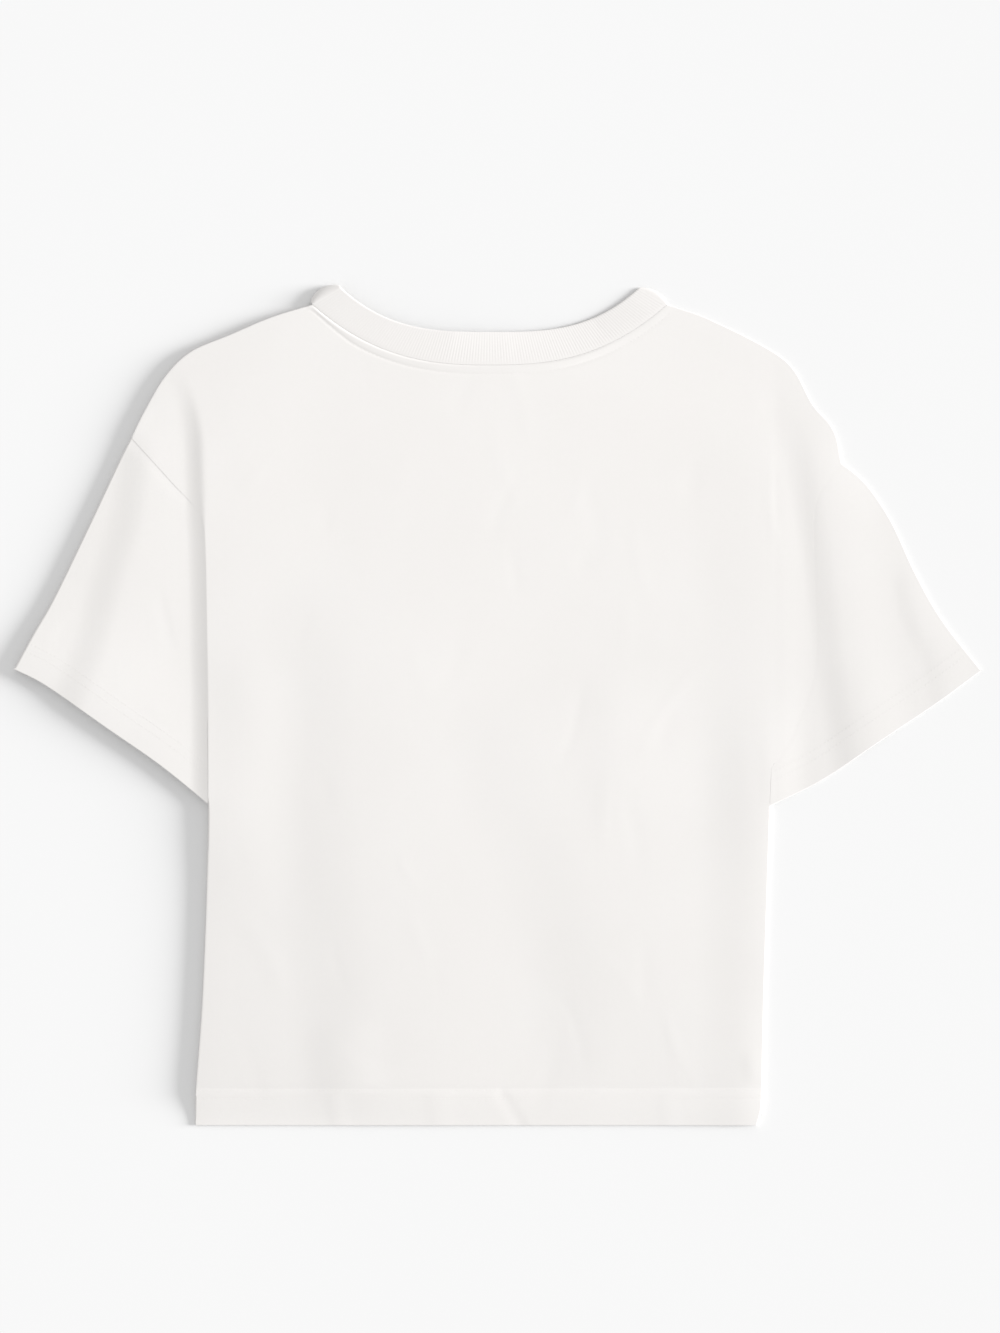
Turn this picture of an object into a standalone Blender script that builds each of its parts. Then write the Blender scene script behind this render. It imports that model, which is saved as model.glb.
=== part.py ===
"""A women's crew-neck T-shirt, laid flat on a surface with its back up.

Sizes are in millimetres, and points are scaled to metres when they become a mesh. X runs across the shirt,
Y runs up from the hem to the neck and Z is up from the surface that the shirt lies on.

The shirt is cut and sewn from five pieces, and each is one closed wall of cloth:

    back_panel     the upper layer of the body, with its hem turned up inside
    front_panel    the lower layer, with a deeper neckline and its own hem
    sleeve_left    one piece folded at the overarm, so that it is a flattened tube with a turned cuff
    sleeve_right   the same on the other side
    neck_rib       a doubled rib band sewn into a ring, which folds over at both shoulders

Left and right are the wearer's. The wearer's left is at -X, because the back is up.
"""

from collections import namedtuple

import bmesh
import bpy
import numpy as np

MM = 0.001

# Cloth.
CLOTH = 1.2  # wall of one layer
TURNED_CLOTH = 1.8  # wall of the hem and the cuffs, where the cloth is turned up and pressed flat
RIB_CLOTH = 2 * CLOTH  # wall of the rib band, which is folded double
SEAM_GAP = 0.3  # between two pieces at a seam
LAYER_GAP = 0.5  # between two layers that lie on each other
TURN_UP = 25.0  # depth of the hem and the cuffs
TURN_UP_STEP = 1.5  # distance over which the turned-up layer ends

# Heights of the upper surface. The shirt lies loosely on its left and close to the surface on its right.
LEFT_HEIGHT, LEFT_X = 6.0, -200.0
RIGHT_HEIGHT, RIGHT_X = 4.2, 190.0
CUFF_LIFT, CUFF_LIFT_REACH = 1.6, 50.0  # how far the left cuff gapes open, and from how far above it
ARMHOLE_STEP = 1.6  # how far the left sleeve lies below the body's edge beside it
ARMHOLE_STEP_REACH = 24.0  # across the sleeve
ARMHOLE_STEP_FADE = 30.0  # down from the turn of the armhole
RIB_HEIGHT = 2 * RIB_CLOTH + LAYER_GAP  # where the rib folds over
SEAM_HEIGHT = RIB_HEIGHT / 2  # where the two layers meet at the outline
EDGE_ROLL = 3.0  # how far in from the outline the cloth has rolled over

# Neck. Each neckline is a superellipse, level at its middle and steepest at the shoulders.
Neckline = namedtuple("Neckline", "half_width top depth power")
NECK_CENTRE = -5.4
BACK_SEAM = Neckline(124.0, 574.0, 42.4, 2.6)
BACK_RIB_EDGE = Neckline(104.0, 585.6, 30.8, 3.1)
FRONT_SEAM = Neckline(124.0, 574.0, 101.0, 2.3)
FRONT_RIB_EDGE = Neckline(104.0, 585.6, 88.6, 2.4)
RIB_FLAT_REACH = 50.0  # from the neck's centre, how far the back of the rib lies low
RIB_HIGH_REACH = 76.0  # and where it is clear of the front of the rib below it
RIB_DROP = 1.5  # how far it comes down between them

# Marks that the outline runs through, for the wearer's left (at -X) and right.
Mark = namedtuple("Mark", "name left_x left_y right_x right_y")
SIDE = (
    Mark("hem corner", -211.2, 0.0, 181.0, 0.0),
    Mark("hem", -211.0, 25.0, 184.2, 14.0),
    Mark("hip", -206.7, 84.0, 186.0, 84.0),
    Mark("waist", -203.6, 158.0, 188.3, 158.0),
    Mark("beside the cuff", -202.2, 224.0, 190.4, 223.0),
    Mark("armpit", -202.6, 282.0, 191.6, 250.0),
)
ARMHOLE = (
    Mark("armpit", -202.6, 282.0, 191.6, 250.0),
    Mark("low", -202.8, 312.0, 207.0, 276.0),
    Mark("middle", -203.2, 348.0, 222.0, 322.0),
    Mark("high", -204.3, 398.0, 221.5, 388.0),
    Mark("turn", -207.6, 426.0, 221.5, 430.0),
    Mark("yoke", -227.0, 449.0, 229.0, 449.0),
    Mark("overarm", -256.0, 481.0, 240.5, 463.0),
)
UNDERARM = (
    Mark("armpit", -202.6, 282.0, 191.6, 250.0),
    Mark("middle", -203.0, 254.0, 191.8, 238.0),
    Mark("cuff", -203.0, 225.0, 191.5, 223.4),
)
OVERARM = (
    Mark("armhole", -256.0, 481.0, 240.5, 463.0),
    Mark("upper", -264.4, 464.5, 257.5, 449.0),
    Mark("middle", -287.7, 415.0, 275.5, 422.5),
    Mark("lower", -310.5, 368.0, 292.5, 386.0),
    Mark("elbow side", -324.3, 344.0, 311.0, 353.5),
    Mark("cuff", -337.8, 319.2, 338.4, 318.0),
)
SHOULDER = (
    Mark("armhole", -256.0, 481.0, 240.5, 463.0),
    Mark("bicep", -247.0, 499.2, 235.0, 486.5),
    Mark("outer", -232.5, 523.6, 220.5, 504.5),
    Mark("round", -214.5, 541.0, 207.5, 528.4),
    Mark("inner", -186.8, 553.0, 190.0, 542.8),
    Mark("slope", -158.0, 565.2, 150.0, 563.0),
    Mark("neck", -129.4, 574.0, 118.6, 574.0),
)
CUFF = (
    Mark("overarm", -337.8, 319.2, 338.4, 318.0),
    Mark("outer", -315.0, 307.3, 309.4, 296.6),
    Mark("middle", -273.0, 278.0, 263.5, 265.8),
    Mark("inner", -236.0, 252.2, 227.0, 241.4),
    Mark("underarm", -203.0, 225.0, 191.5, 223.4),
)

# Folds run down the shirt along their places. The lift is the height that a fold adds along its line, below
# zero for a trough. West and east are its reach to either side, and it fades in from its upper end and out to
# its lower end.
Fold = namedtuple("Fold", "name lift west east fade_in fade_out places")
FOLDS = (
    Fold("left edge of body", 1.2, 9, 110, 60, 60, ((-226, 535), (-207, 472), (-204, 395), (-201, 200))),
    Fold("left sleeve crest", 0.9, 28, 60, 60, 4, ((-243, 476), (-254, 424), (-269, 368), (-292, 292))),
    Fold("right armhole trough", -0.8, 26, 24, 40, 4, ((204, 512), (212, 447), (224, 378), (238, 246))),
    Fold("right edge of body", 0.6, 60, 30, 60, 40, ((176, 520), (190, 440), (198, 330), (200, 240))),
    Fold("right sleeve crest", 0.6, 24, 34, 50, 6, ((228, 470), (244, 412), (254, 341), (264, 262))),
    Fold("right sleeve crease", -0.6, 14, 16, 30, 4, ((276, 398), (290, 360), (302, 325), (309, 296))),
    Fold("left of the back", 0.9, 60, 84, 110, 40, ((-92, 430), (-88, 300), (-82, 160), (-78, 10))),
    Fold("right of the back", 0.7, 78, 58, 110, 40, ((84, 340), (88, 200), (86, 10))),
)
FOLD_FADE = 8.0  # how far in from the outline the folds reach their height

# Places of the grid lines. Steps are distances from an edge, and the rest of a row is spaced evenly.
ROLL_STEPS = (0.0, 0.6, 1.5, EDGE_ROLL)
TURN_UP_STEPS = (0.0, 12.0, TURN_UP - TURN_UP_STEP, TURN_UP)
TROUGH_STEPS = (*ROLL_STEPS, 9.0, 17.0)
NO_STEPS = (0.0,)
BodyGrid = namedtuple("BodyGrid", "shoulder neck side")
BACK_GRID = BodyGrid(shoulder=6, neck=16, side=5)
FRONT_GRID = BodyGrid(shoulder=6, neck=10, side=2)
SLEEVE_ACROSS = 7
UNDERARM_ROWS = 1
ARMHOLE_ROWS = 4
RIB_TURN_STATIONS = 5
PATH_POINTS = 160
SPAN_POINTS = 16  # of the curve between two marks, before its points are spaced evenly
SHARP_CORNER = 0.3  # sine of the least turn that counts as a corner of an outline
CREASE_ANGLE = 50.0  # degrees between two faces from which their edge is drawn sharp
SAME_POINT = 1e-7  # metres within which two corners are one point

CLOTH_COLOUR = (0.86, 0.85, 0.84, 1.0)
RIB_COLOUR = (0.87, 0.85, 0.84, 1.0)
CLOTH_ROUGHNESS = 0.92


# Paths.


def smooth_path(points):
    """A Catmull-Rom curve through the points, read at evenly spaced places."""
    knots = np.asarray(points, float)
    ends = np.vstack([2 * knots[0] - knots[1], knots, 2 * knots[-1] - knots[-2]])
    share = np.linspace(0, 1, SPAN_POINTS, endpoint=False)[:, None]
    spans = []
    for before, start, stop, after in zip(ends, ends[1:], ends[2:], ends[3:]):
        spans.append(
            start
            + 0.5 * share * (stop - before)
            + share**2 * (before - 2.5 * start + 2 * stop - 0.5 * after)
            + share**3 * (1.5 * (start - stop) + 0.5 * (after - before))
        )
    fine = np.vstack([*spans, knots[-1:]])
    along = distances_along(fine)
    return points_at(fine, np.linspace(0, along[-1], PATH_POINTS))


def distances_along(path):
    return np.concatenate([[0], np.cumsum(np.linalg.norm(np.diff(path, axis=0), axis=1))])


def points_at(path, places):
    """The points of a path at these distances from its start."""
    along = distances_along(path)
    return np.column_stack([np.interp(places, along, path[:, axis]) for axis in range(2)])


def spaced(path, start_steps, even, end_steps):
    """Points at the steps from each end of a path, with an even number of equal spans between them."""
    total = distances_along(path)[-1]
    middle = np.linspace(start_steps[-1], total - end_steps[-1], even + 1)
    places = np.concatenate([start_steps[:-1], middle, total - np.array(end_steps[:-1])[::-1]])
    return points_at(path, places)


def joined(*paths):
    """Paths end to end, without their shared points twice."""
    return np.vstack([paths[0], *[path[1:] for path in paths[1:]]])


def marked(marks, side):
    return smooth_path([(getattr(mark, side + "_x"), getattr(mark, side + "_y")) for mark in marks])


def neckline_height(line, x):
    share = np.clip(np.abs(x - NECK_CENTRE) / line.half_width, 0, 1)
    return line.top - line.depth * (1 - share**line.power)


def neckline_path(line):
    """A neckline from its left end to its right end."""
    x = NECK_CENTRE + line.half_width * np.sin(np.linspace(-np.pi / 2, np.pi / 2, PATH_POINTS))
    return np.column_stack([x, neckline_height(line, x)])


# Heights.


def ease(value):
    """0 below 0, 1 above 1 and smooth between."""
    value = np.clip(value, 0, 1)
    return value * value * (3 - 2 * value)


def distance_to(path, plan):
    """Distance in plan from each point to a path."""
    start, run = path[:-1], np.diff(path, axis=0)
    offset = plan[..., None, :] - start
    share = np.clip((offset * run).sum(-1) / (run * run).sum(-1), 0, 1)
    return np.linalg.norm(offset - share[..., None] * run, axis=-1).min(-1)


SIDES = ("left", "right")
ROLLED = [marked(marks, side)[::4] for side in SIDES for marks in (SIDE, UNDERARM, OVERARM, SHOULDER)]
CUFFS = {side: marked(CUFF, side)[::4] for side in SIDES}
LEFT_ARMHOLE = marked(ARMHOLE, "left")[::4]
LEFT_TURN = next(mark.left_y for mark in ARMHOLE if mark.name == "turn")


def inward_of(plan):
    """Distance in from the rolled outline, which is all of it but the hem, the cuffs and the neck."""
    return np.min([distance_to(path, plan) for path in ROLLED], axis=0)


def thickness(plan, on_sleeve):
    """Wall of the cloth, which is more where it is turned up."""
    to_edge = plan[..., 1]
    if on_sleeve:
        to_edge = np.min([distance_to(path, plan) for path in CUFFS.values()], axis=0)
    return CLOTH + (TURNED_CLOTH - CLOTH) * ease((TURN_UP - to_edge) / TURN_UP_STEP)


def fold_lift(plan):
    """Height that the folds add to the upper surface."""
    x, y = plan[..., 0], plan[..., 1]
    total = np.zeros(x.shape)
    for fold in FOLDS:
        line = smooth_path(fold.places)[::-1]
        offset = x - np.interp(y, line[:, 1], line[:, 0])
        reach = np.where(offset < 0, fold.west, fold.east)
        across = 0.5 + 0.5 * np.cos(np.pi * np.clip(offset / reach, -1, 1))
        along = ease((line[-1, 1] - y) / fold.fade_in) * ease((y - line[0, 1]) / fold.fade_out)
        total += fold.lift * across * along
    return total


def sleeve_lift(plan):
    """Height that a sleeve adds: its left cuff gapes, and its left armhole lies below the body's edge."""
    gape = CUFF_LIFT * ease(1 - distance_to(CUFFS["left"], plan) / CUFF_LIFT_REACH)
    below = ease((LEFT_TURN - plan[..., 1]) / ARMHOLE_STEP_FADE)
    return gape - ARMHOLE_STEP * below * ease(1 - distance_to(LEFT_ARMHOLE, plan) / ARMHOLE_STEP_REACH)


def upper_height(plan, on_sleeve):
    """Height of the upper surface, before it rolls over at the outline."""
    spread_out = np.interp(plan[..., 0], (LEFT_X, RIGHT_X), (LEFT_HEIGHT, RIGHT_HEIGHT))
    folds = fold_lift(plan) * ease(inward_of(plan) / FOLD_FADE)
    own = sleeve_lift(plan) if on_sleeve else 0.0
    return np.maximum(spread_out + folds + own, 2 * thickness(plan, on_sleeve) + LAYER_GAP)


def quarter_turn(share):
    """0 at the outline and 1 where the cloth has rolled over, along a quarter of an ellipse."""
    return np.sqrt(1 - (1 - np.clip(share, 0, 1)) ** 2)


# Plan grids.


def inset(loop, widths):
    """A closed outline with each of its edges moved in by that edge's own width."""
    area = np.sum(loop[:, 0] * np.roll(loop[:, 1], -1) - loop[:, 1] * np.roll(loop[:, 0], -1))
    run = np.roll(loop, -1, axis=0) - loop
    run /= np.linalg.norm(run, axis=1)[:, None]
    inward = np.sign(area) * np.column_stack([-run[:, 1], run[:, 0]])
    moved = loop.copy()
    for index in range(len(loop)):
        before, after = inward[index - 1], inward[index]
        pair = np.array([before, after])
        width = np.array([widths[index - 1], widths[index]])
        if abs(np.linalg.det(pair)) > SHARP_CORNER:
            moved[index] += np.linalg.solve(pair, width)
        else:
            moved[index] += (before + after) / np.linalg.norm(before + after) * width.max()
    return moved


def spread(loop, columns, rows):
    """A grid of plan points inside a closed outline, which starts at the grid's first corner."""
    bottom = loop[: columns + 1]
    right = loop[columns : columns + rows + 1]
    top = loop[columns + rows : 2 * columns + rows + 1][::-1]
    left = np.vstack([loop[2 * columns + rows :], loop[:1]])[::-1]
    across = (distances_along(bottom) / distances_along(bottom)[-1])[None, :, None]
    up = (distances_along(left) / distances_along(left)[-1])[:, None, None]
    corners = (1 - up) * ((1 - across) * bottom[0] + across * bottom[-1])
    corners = corners + up * ((1 - across) * top[0] + across * top[-1])
    return (1 - up) * bottom + up * top + (1 - across) * left[:, None] + across * right[:, None] - corners


# Edges of an outline: rolled cloth, a seam to another piece, or the open edge of a hem or cuff.
ROLL, SEAM, OPEN = "roll", "seam", "open"


def outline(bottom, right, top, left):
    """The closed outline through four edges, each a list of (points, kind), and the kinds of its spans."""
    points, kinds = [], []
    for edge in (bottom, right, top, left):
        for path, kind in edge:
            points.append(path[:-1])
            kinds += [kind] * (len(path) - 1)
    return np.vstack(points), kinds


def border_of(rows, columns):
    """Grid places around a grid's border, in the order of its outline."""
    return (
        [(0, column) for column in range(columns)]
        + [(row, columns) for row in range(rows)]
        + [(rows, column) for column in range(columns, 0, -1)]
        + [(row, 0) for row in range(rows, 0, -1)]
    )


def tucked_in(grid, spans):
    """The grid of an inner surface. By a rolled edge it starts a wall's thickness in, along the grid lines."""
    rows, columns = grid.shape[0] - 1, grid.shape[1] - 1
    moved = grid.copy()
    for start, stop, kind in spans:
        if kind != ROLL:
            continue
        for row, column in (start, stop):
            row_step, column_step = (-1, 0)
            if start[1] == stop[1]:
                row_step, column_step = 0, 1 if column == 0 else -1
            reach = np.arange(len(ROLL_STEPS) + 1)
            line = (row + row_step * reach, column + column_step * reach)
            inward = inward_of(grid[line])
            wanted = inward + CLOTH * np.clip(1 - inward / EDGE_ROLL, 0, 1)
            places = [np.interp(wanted, inward, grid[line][:, axis]) for axis in range(2)]
            moved[line] = np.column_stack(places)
    return moved


class Pattern:
    """The plan of one piece of cloth, as a grid for its outer surface and one for its inner surface."""

    def __init__(self, loop, kinds, columns, rows, on_sleeve):
        border = border_of(rows, columns)
        self.spans = list(zip(border, border[1:] + border[:1], kinds))
        gaps = [SEAM_GAP / 2 if kind == SEAM else 0.0 for kind in kinds]
        self.outer = spread(inset(loop, gaps), columns, rows)
        self.inner = tucked_in(self.outer, self.spans)
        self.outer_turn = quarter_turn(inward_of(self.outer) / EDGE_ROLL)
        self.inner_turn = quarter_turn((inward_of(self.inner) - CLOTH) / (EDGE_ROLL - CLOTH))
        for start, stop, kind in self.spans:
            if kind == ROLL:
                for place in (start, stop):
                    self.outer_turn[place] = self.inner_turn[place] = 0.0
        self.on_sleeve = on_sleeve

    def layer(self, upper, seam_gap):
        """The outer and inner surface of the upper or lower layer, as points in space."""
        thick = thickness(self.inner, self.on_sleeve)
        if upper:
            start = SEAM_HEIGHT + seam_gap / 2
            outer_rest = upper_height(self.outer, self.on_sleeve)
            inner_rest = upper_height(self.inner, self.on_sleeve) - thick
        else:
            start = SEAM_HEIGHT - seam_gap / 2
            outer_rest, inner_rest = 0.0, thick
        outer = np.dstack([self.outer, start + (outer_rest - start) * self.outer_turn])
        inner = np.dstack([self.inner, start + (inner_rest - start) * self.inner_turn])
        return outer, inner


def armhole_edges(side):
    """Both stretches of an armhole from the armpit to the overarm, with points that all its pieces share."""
    path = marked(ARMHOLE, side)
    turn = next(mark for mark in ARMHOLE if mark.name == "turn")
    corner = np.array([getattr(turn, side + "_x"), getattr(turn, side + "_y")])
    split = int(np.argmin(np.linalg.norm(path - corner, axis=1)))
    low = spaced(path[: split + 1], NO_STEPS, ARMHOLE_ROWS, NO_STEPS)
    high = spaced(path[split:], TROUGH_STEPS, SLEEVE_ACROSS, ROLL_STEPS)
    return low, high


def body_outline(grid, seam_line):
    """Outline of a body panel from the hem's left corner, with its numbers of columns and rows."""
    edges = {}
    for side in SIDES:
        up_side = spaced(marked(SIDE, side), TURN_UP_STEPS, grid.side, NO_STEPS)
        up_armhole = joined(*armhole_edges(side))
        up_shoulder = spaced(marked(SHOULDER, side), TROUGH_STEPS, grid.shoulder, NO_STEPS)
        edges[side] = (up_side, up_armhole, up_shoulder)
    neck = spaced(neckline_path(seam_line), NO_STEPS, grid.neck, NO_STEPS)
    hem_ends = np.array([edges["left"][0][0], edges["right"][0][0]])
    hem = spaced(hem_ends, TROUGH_STEPS, 2 * grid.shoulder + grid.neck, TROUGH_STEPS)
    left_side, left_armhole, left_shoulder = edges["left"]
    right_side, right_armhole, right_shoulder = edges["right"]
    loop, kinds = outline(
        bottom=[(hem, OPEN)],
        right=[(right_side, ROLL), (right_armhole, SEAM)],
        top=[(right_shoulder, ROLL), (neck[::-1], SEAM), (left_shoulder[::-1], ROLL)],
        left=[(left_armhole[::-1], SEAM), (left_side[::-1], ROLL)],
    )
    return loop, kinds, len(hem) - 1, len(left_side) + len(left_armhole) - 2


def sleeve_outline(side):
    """Outline of a flattened sleeve from its outer cuff corner, with its numbers of columns and rows."""
    low_armhole, high_armhole = armhole_edges(side)
    cuff = spaced(marked(CUFF, side), ROLL_STEPS, SLEEVE_ACROSS, TROUGH_STEPS)
    underarm = spaced(marked(UNDERARM, side)[::-1], TURN_UP_STEPS, UNDERARM_ROWS, NO_STEPS)
    rows = len(underarm) + len(low_armhole) - 2
    overarm = spaced(marked(OVERARM, side)[::-1], TURN_UP_STEPS, rows - len(TURN_UP_STEPS) + 1, NO_STEPS)
    loop, kinds = outline(
        bottom=[(cuff, OPEN)],
        right=[(underarm, ROLL), (low_armhole, SEAM)],
        top=[(high_armhole, SEAM)],
        left=[(overarm[::-1], ROLL)],
    )
    return loop, kinds, len(cuff) - 1, rows


# Meshes.


class ClothMesh:
    """Quads collected by their corner points, and joined wherever two corners are the same point."""

    def __init__(self):
        self.quads = []

    def add_surface(self, points):
        for low, high in zip(points, points[1:]):
            for index in range(len(low) - 1):
                self.quads.append((low[index], low[index + 1], high[index + 1], high[index]))

    def add_layer(self, pattern, upper, seam_gap, walled):
        """Both surfaces of a layer, with a wall between them along the outline's spans of walled kinds."""
        outer, inner = pattern.layer(upper, seam_gap)
        self.add_surface(outer)
        self.add_surface(inner)
        for start, stop, kind in pattern.spans:
            if kind in walled:
                self.quads.append((outer[start], outer[stop], inner[stop], inner[start]))

    def mesh(self, name):
        work = bmesh.new()
        for quad in self.quads:
            work.faces.new([work.verts.new(np.asarray(corner) * MM) for corner in quad])
        bmesh.ops.remove_doubles(work, verts=work.verts, dist=SAME_POINT)
        bmesh.ops.recalc_face_normals(work, faces=work.faces)
        mesh = bpy.data.meshes.new(name)
        work.to_mesh(mesh)
        work.free()
        mesh.shade_smooth()
        mesh.set_sharp_from_angle(angle=np.radians(CREASE_ANGLE))
        return mesh


def body_panel(name, grid, seam_line, upper):
    cloth = ClothMesh()
    pattern = Pattern(*body_outline(grid, seam_line), on_sleeve=False)
    cloth.add_layer(pattern, upper, SEAM_GAP, walled=(ROLL, SEAM, OPEN))
    return cloth.mesh(name)


def sleeve(name, side):
    """A flattened tube: two layers that run into each other at the overarm and the underarm."""
    cloth = ClothMesh()
    pattern = Pattern(*sleeve_outline(side), on_sleeve=True)
    for upper in (True, False):
        cloth.add_layer(pattern, upper, 0.0, walled=(SEAM, OPEN))
    return cloth.mesh(name)


# The rib's section, across from the seam and up the wall, both as shares. Its folded edge is round.
RibPoint = namedtuple("RibPoint", "across up")
RIB_SECTION = (
    RibPoint(0.0, 0.0),
    RibPoint(0.0, 1.0),
    RibPoint(0.5, 1.0),
    RibPoint(0.94, 1.0),
    RibPoint(0.985, 0.82),
    RibPoint(1.0, 0.5),
    RibPoint(0.985, 0.18),
    RibPoint(0.94, 0.0),
)


def rib_rise(x):
    """Height of the back of the rib above its lowest level, which it keeps around the neck's centre."""
    reach = np.abs(x - NECK_CENTRE)
    return ease((reach - RIB_FLAT_REACH) / (RIB_HIGH_REACH - RIB_FLAT_REACH))


def rib_arc(seam_line, edge_line, count, over):
    """Sections of one half of the ring from left to right. Over is 1 for the upper half, -1 for the lower."""
    lines = (seam_line, edge_line)
    seams, edges = (spaced(neckline_path(line), NO_STEPS, count, NO_STEPS) for line in lines)
    sections = []
    for seam, edge in zip(seams, edges):
        width = np.linalg.norm(edge - seam)
        start = seam + (edge - seam) * SEAM_GAP / 2 / width
        lowered = RIB_DROP * (1 - rib_rise(seam[0])) if over > 0 else 0.0
        section = []
        for point in RIB_SECTION:
            plan = start + (edge - start) * point.across
            above = LAYER_GAP / 2 + RIB_CLOTH * point.up
            section.append((*plan, SEAM_HEIGHT + over * above - lowered))
        sections.append(section)
    return sections


def rib_turn(section, outward_sign):
    """Sections of the fold at a shoulder, from the upper half over to the lower one."""
    section = np.array(section)
    fold = section[5, :2] - section[0, :2]
    outward = outward_sign * np.array([-fold[1], fold[0]]) / np.linalg.norm(fold)
    turns = []
    for angle in np.linspace(0, np.pi, RIB_TURN_STATIONS + 2)[1:-1]:
        above = section[:, 2:] - SEAM_HEIGHT
        plan = section[:, :2] + above * np.sin(angle) * outward
        turns.append(np.hstack([plan, SEAM_HEIGHT + above * np.cos(angle)]))
    return turns


def neck_rib(name):
    back = rib_arc(BACK_SEAM, BACK_RIB_EDGE, BACK_GRID.neck, 1)
    front = rib_arc(FRONT_SEAM, FRONT_RIB_EDGE, FRONT_GRID.neck, -1)
    ring = [*back, *rib_turn(back[-1], -1), *front[::-1], *rib_turn(back[0], 1)[::-1]]
    ring = np.array([*ring, ring[0]])
    cloth = ClothMesh()
    cloth.add_surface(np.concatenate([ring, ring[:, :1]], axis=1))
    return cloth.mesh(name)


# The model.


def material(name, colour):
    made = bpy.data.materials.new(name)
    made.use_nodes = True
    shader = made.node_tree.nodes["Principled BSDF"]
    shader.inputs["Base Color"].default_value = colour
    shader.inputs["Roughness"].default_value = CLOTH_ROUGHNESS
    shader.inputs["Metallic"].default_value = 0.0
    return made


def centre_on_origin(meshes):
    """Move the shirt so that the middle of its box is over the origin, with its underside at Z = 0."""
    points = np.array([vertex.co for mesh in meshes for vertex in mesh.vertices])
    low, high = points.min(axis=0), points.max(axis=0)
    shift = -np.array([(low[0] + high[0]) / 2, (low[1] + high[1]) / 2, low[2]])
    for mesh in meshes:
        for vertex in mesh.vertices:
            vertex.co += type(vertex.co)(shift)


def main():
    for thing in list(bpy.data.objects):
        bpy.data.objects.remove(thing, do_unlink=True)
    meshes = [
        body_panel("back_panel", BACK_GRID, BACK_SEAM, upper=True),
        body_panel("front_panel", FRONT_GRID, FRONT_SEAM, upper=False),
        sleeve("sleeve_left", "left"),
        sleeve("sleeve_right", "right"),
        neck_rib("neck_rib"),
    ]
    centre_on_origin(meshes)
    for mesh in meshes:
        colour = RIB_COLOUR if mesh.name == "neck_rib" else CLOTH_COLOUR
        mesh.materials.append(material(mesh.name + "_cloth", colour))
        bpy.context.collection.objects.link(bpy.data.objects.new(mesh.name, mesh))


main()
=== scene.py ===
"""The looks of a women's crew-neck T-shirt that lies flat on a pale surface with its back up.

Sizes are in millimetres until a mesh is made. X runs across the shirt, Y runs up from the hem to the neck and
Z is up. Each piece of cloth is a thin wall on the outline of its own CAD solid: a fine grid in plan, lifted
by the folds, rolled over at the outline and turned up inside at the hem and the cuffs. Stitches are small
tubes of thread, in one mesh for each piece of cloth.
"""

from collections import namedtuple

import bmesh
import bpy
import numpy as np
from mathutils import Matrix, Vector


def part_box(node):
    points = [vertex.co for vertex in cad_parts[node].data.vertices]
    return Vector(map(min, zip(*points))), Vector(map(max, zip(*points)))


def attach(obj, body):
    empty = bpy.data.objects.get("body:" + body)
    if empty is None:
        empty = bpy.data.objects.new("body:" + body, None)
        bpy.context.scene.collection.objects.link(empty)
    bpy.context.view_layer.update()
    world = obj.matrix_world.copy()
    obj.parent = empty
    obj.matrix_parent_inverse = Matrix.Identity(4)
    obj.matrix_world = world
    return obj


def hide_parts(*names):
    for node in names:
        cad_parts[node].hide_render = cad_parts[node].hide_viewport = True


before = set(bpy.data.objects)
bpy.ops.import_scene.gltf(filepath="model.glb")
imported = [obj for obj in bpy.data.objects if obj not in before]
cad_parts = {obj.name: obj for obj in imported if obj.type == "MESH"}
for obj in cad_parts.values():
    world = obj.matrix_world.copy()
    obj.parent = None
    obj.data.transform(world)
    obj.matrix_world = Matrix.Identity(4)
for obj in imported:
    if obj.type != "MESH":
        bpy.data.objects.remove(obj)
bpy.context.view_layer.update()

MM = 0.001

# Cloth.
CLOTH = 0.3  # wall of one layer
TURNED = 0.62  # wall of the hem and the cuffs, with the turned-up layer
HEM_TURN = 26.0
CUFF_TURN = 22.0
STITCH_ROW = 1.2  # from the end of the turned-up layer to the first row of stitches
STITCH_GAUGE = 5.8  # between the two rows
PANEL_GAP = 0.1  # between two pieces at a seam
NECK_BAND = 0.2  # how far the body stands up along the rib
NECK_BAND_RISE = 1.3  # from the neck's seam to where it stands up
NECK_BAND_END, NECK_BAND_SHORT = 1.5, 1.0  # to where it falls, over the stitches' distance less this
NECK_SEAM_DIP = 0.14
NECK_GROOVE_HALF = 0.7  # half of the width of the dip and of the stitches' groove
NECK_FLAT_X, NECK_FLAT_REACH = 50.0, 45.0  # from where the neck's seam is pressed flat
NECK_FLAT_SHARE = 0.8  # how much of its relief is gone there
NECK_ROW_LEFT, NECK_ROW_MORE = 3.0, 3.0  # from the seam to its stitches, and added further right
NECK_ROW_X, NECK_ROW_REACH = -130.0, 34.0
GROOVE, GROOVE_HALF = 0.16, 0.8  # how far a row of stitches draws the cloth in, and half of its width
SECOND_GROOVE = GROOVE / 2
LEFT_ARMHOLE_DIP, LEFT_DIP_REACH = 0.12, 5.0  # how far the sleeve is drawn in below the body
RIGHT_ARMHOLE_DIP, RIGHT_DIP_REACH = 0.03, 1.6
ARMHOLE_TURN_Y, ARMHOLE_DIP_FADE = 424.0, 26.0  # the left armhole's seam is in the crease below this
TURNED_STEP = 0.4  # how far the turned-up layer raises the surface
TURNED_PAST, TURNED_FADE = 0.6, 1.6  # how far past it the step runs out, and over what distance
CUFF_RELIEF = 0.06  # share of the hem's relief that the cuffs show

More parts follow.
